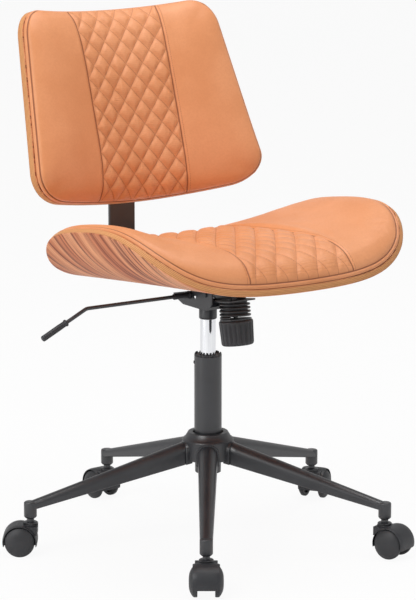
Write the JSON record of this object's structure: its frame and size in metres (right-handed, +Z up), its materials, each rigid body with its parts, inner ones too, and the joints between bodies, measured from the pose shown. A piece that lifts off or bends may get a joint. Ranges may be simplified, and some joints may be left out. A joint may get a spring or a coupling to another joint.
{
  "type": "office swivel chair",
  "caption": "Office chair with a winged plywood seat, a wrapped plywood back and quilted leather pads, on a rocking mechanism, a gas lift and a castor base.",
  "frame": {"origin": "middle of the footprint's bounding box, on the floor", "axes": "+Z up, the chair faces -Y, +X is the sitter's left"},
  "size_m": [0.7498, 0.7198, 0.9536],
  "materials": {
    "black_steel": "satin powder coat",
    "chrome": "polished",
    "black_spring": "semi-gloss",
    "black_plastic": "satin",
    "castor_tread": "satin",
    "walnut_ply": "satin lacquer",
    "tan_leather": "smooth, quilted"
  },
  "bodies": {
    "base": {"base_hub": "black_steel", "base_leg_1": "black_steel", "base_leg_2": "black_steel", "base_leg_3": "black_steel", "base_leg_4": "black_steel", "base_leg_5": "black_steel", "column_tube": "black_steel", "column_guide_bush": "black_plastic", "thrust_bearing": "chrome"},
    "lift_rod": {"piston_rod": "chrome"},
    "lift_head": {"gas_cylinder": "chrome", "taper_socket": "black_steel", "tilt_housing": "black_steel", "tilt_pin": "black_steel", "tension_spring": "black_spring"},
    "valve_button": {"valve_button": "black_plastic"},
    "lever_bush": {"lever_bush": "black_plastic"},
    "lever": {"lever_rod": "black_steel", "lever_grip": "black_plastic"},
    "seat": {"seat_plate": "black_steel", "seat_shell": "walnut_ply", "seat_pad": "tan_leather", "seat_screw_1": "black_steel", "seat_screw_2": "black_steel", "seat_screw_3": "black_steel", "seat_screw_4": "black_steel", "back_bracket": "black_steel", "back_shell": "walnut_ply", "back_pad": "tan_leather", "back_screw_1": "black_steel", "back_screw_2": "black_steel", "tension_bolt": "black_steel"},
    "tension_cup": {"spring_cup": "black_steel"},
    "tension_knob": {"tension_knob": "black_plastic"},
    "castor_1": {"castor_stem_1": "black_steel", "castor_housing_1": "black_plastic", "castor_axle_1": "black_steel"},
    "castor_1_wheel_left": {"castor_wheel_1_left": "castor_tread"},
    "castor_1_wheel_right": {"castor_wheel_1_right": "castor_tread"},
    "castor_2": {"castor_stem_2": "black_steel", "castor_housing_2": "black_plastic", "castor_axle_2": "black_steel"},
    "castor_2_wheel_left": {"castor_wheel_2_left": "castor_tread"},
    "castor_2_wheel_right": {"castor_wheel_2_right": "castor_tread"},
    "castor_3": {"castor_stem_3": "black_steel", "castor_housing_3": "black_plastic", "castor_axle_3": "black_steel"},
    "castor_3_wheel_left": {"castor_wheel_3_left": "castor_tread"},
    "castor_3_wheel_right": {"castor_wheel_3_right": "castor_tread"},
    "castor_4": {"castor_stem_4": "black_steel", "castor_housing_4": "black_plastic", "castor_axle_4": "black_steel"},
    "castor_4_wheel_left": {"castor_wheel_4_left": "castor_tread"},
    "castor_4_wheel_right": {"castor_wheel_4_right": "castor_tread"},
    "castor_5": {"castor_stem_5": "black_steel", "castor_housing_5": "black_plastic", "castor_axle_5": "black_steel"},
    "castor_5_wheel_left": {"castor_wheel_5_left": "castor_tread"},
    "castor_5_wheel_right": {"castor_wheel_5_right": "castor_tread"}
  },
  "joints": [
    {"name": "seat_swivel", "type": "hinge", "parent": "base", "child": "lift_rod", "pos_m": [0.00271, -0.02734, 0.2], "axis": [0, 0, 1], "continuous": true},
    {"name": "height_slide", "type": "slide", "parent": "lift_rod", "child": "lift_head", "axis": [0, 0, 1], "range_m": [-0.06, 0.04]},
    {"name": "valve_press", "type": "slide", "parent": "lift_head", "child": "valve_button", "axis": [0, 0, -1], "range_m": [0, 0.0042], "stiffness_N_per_m": 400, "springref_m": -0.002},
    {"name": "lever_lift", "type": "hinge", "parent": "lift_head", "child": "lever_bush", "pos_m": [-0.03304, -0.02334, 0.4605], "axis": [0, 1, 0], "range_deg": [0, 5.5], "stiffness_Nm_per_rad": 3, "springref_deg": -3.44},
    {"name": "lever_pull", "type": "slide", "parent": "lever_bush", "child": "lever", "axis": [-1, 0, 0], "range_m": [0, 0.008]},
    {"name": "rocking", "type": "hinge", "parent": "lift_head", "child": "seat", "pos_m": [0.00271, -0.07234, 0.47], "axis": [-1, 0, 0], "range_deg": [0, 8], "stiffness_Nm_per_rad": 160, "springref_deg": -17.19, "deforming": ["tension_spring"]},
    {"name": "cup_slide", "type": "slide", "parent": "seat", "child": "tension_cup", "axis": [0, 0.1564, 0.9877], "range_m": [0, 0.003], "deforming": ["tension_spring"]},
    {"name": "knob_turn", "type": "hinge", "parent": "tension_cup", "child": "tension_knob", "pos_m": [0.00271, -0.11084, 0.4595], "axis": [0, 0.1564, 0.9877], "range_deg": [0, 720.1]},
    {"name": "castor_1_swivel", "type": "hinge", "parent": "base", "child": "castor_1", "pos_m": [-0.18704, -0.30342, 0.08], "axis": [0, 0, 1], "continuous": true},
    {"name": "castor_1_roll_left", "type": "hinge", "parent": "castor_1", "child": "castor_1_wheel_left", "pos_m": [-0.19766, -0.31917, 0.027], "axis": [0.829, -0.5592, 0], "continuous": true},
    {"name": "castor_1_roll_right", "type": "hinge", "parent": "castor_1", "child": "castor_1_wheel_right", "pos_m": [-0.19766, -0.31917, 0.027], "axis": [0.829, -0.5592, 0], "continuous": true},
    {"name": "castor_2_swivel", "type": "hinge", "parent": "base", "child": "castor_2", "pos_m": [0.20664, -0.29311, 0.08], "axis": [0, 0, 1], "continuous": true},
    {"name": "castor_2_roll_left", "type": "hinge", "parent": "castor_2", "child": "castor_2_wheel_left", "pos_m": [0.21314, -0.31097, 0.027], "axis": [0.9397, 0.342, 0], "continuous": true},
    {"name": "castor_2_roll_right", "type": "hinge", "parent": "castor_2", "child": "castor_2_wheel_right", "pos_m": [0.21314, -0.31097, 0.027], "axis": [0.9397, 0.342, 0], "continuous": true},
    {"name": "castor_3_swivel", "type": "hinge", "parent": "base", "child": "castor_3", "pos_m": [0.31849, 0.08449, 0.08], "axis": [0, 0, 1], "continuous": true},
    {"name": "castor_3_roll_left", "type": "hinge", "parent": "castor_3", "child": "castor_3_wheel_left", "pos_m": [0.33425, 0.09511, 0.027], "axis": [-0.5592, 0.829, 0], "continuous": true},
    {"name": "castor_3_roll_right", "type": "hinge", "parent": "castor_3", "child": "castor_3_wheel_right", "pos_m": [0.33425, 0.09511, 0.027], "axis": [-0.5592, 0.829, 0], "continuous": true},
    {"name": "castor_4_swivel", "type": "hinge", "parent": "base", "child": "castor_4", "pos_m": [-0.00606, 0.30755, 0.08], "axis": [0, 0, 1], "continuous": true},
    {"name": "castor_4_roll_left", "type": "hinge", "parent": "castor_4", "child": "castor_4_wheel_left", "pos_m": [-0.00771, 0.32647, 0.027], "axis": [-0.9962, -0.0872, 0], "continuous": true},
    {"name": "castor_4_roll_right", "type": "hinge", "parent": "castor_4", "child": "castor_4_wheel_right", "pos_m": [-0.00771, 0.32647, 0.027], "axis": [-0.9962, -0.0872, 0], "continuous": true},
    {"name": "castor_5_swivel", "type": "hinge", "parent": "base", "child": "castor_5", "pos_m": [-0.31849, 0.06781, 0.08], "axis": [0, 0, 1], "continuous": true},
    {"name": "castor_5_roll_left", "type": "hinge", "parent": "castor_5", "child": "castor_5_wheel_left", "pos_m": [-0.33425, 0.07843, 0.027], "axis": [-0.5592, -0.829, 0], "continuous": true},
    {"name": "castor_5_roll_right", "type": "hinge", "parent": "castor_5", "child": "castor_5_wheel_right", "pos_m": [-0.33425, 0.07843, 0.027], "axis": [-0.5592, -0.829, 0], "continuous": true}
  ],
  "couplings": [
    {"joint": "valve_press", "follows": "lever_lift", "m_per_rad": 0.04},
    {"joint": "knob_turn", "follows": "cup_slide", "rad_per_m": 4188.8}
  ]
}
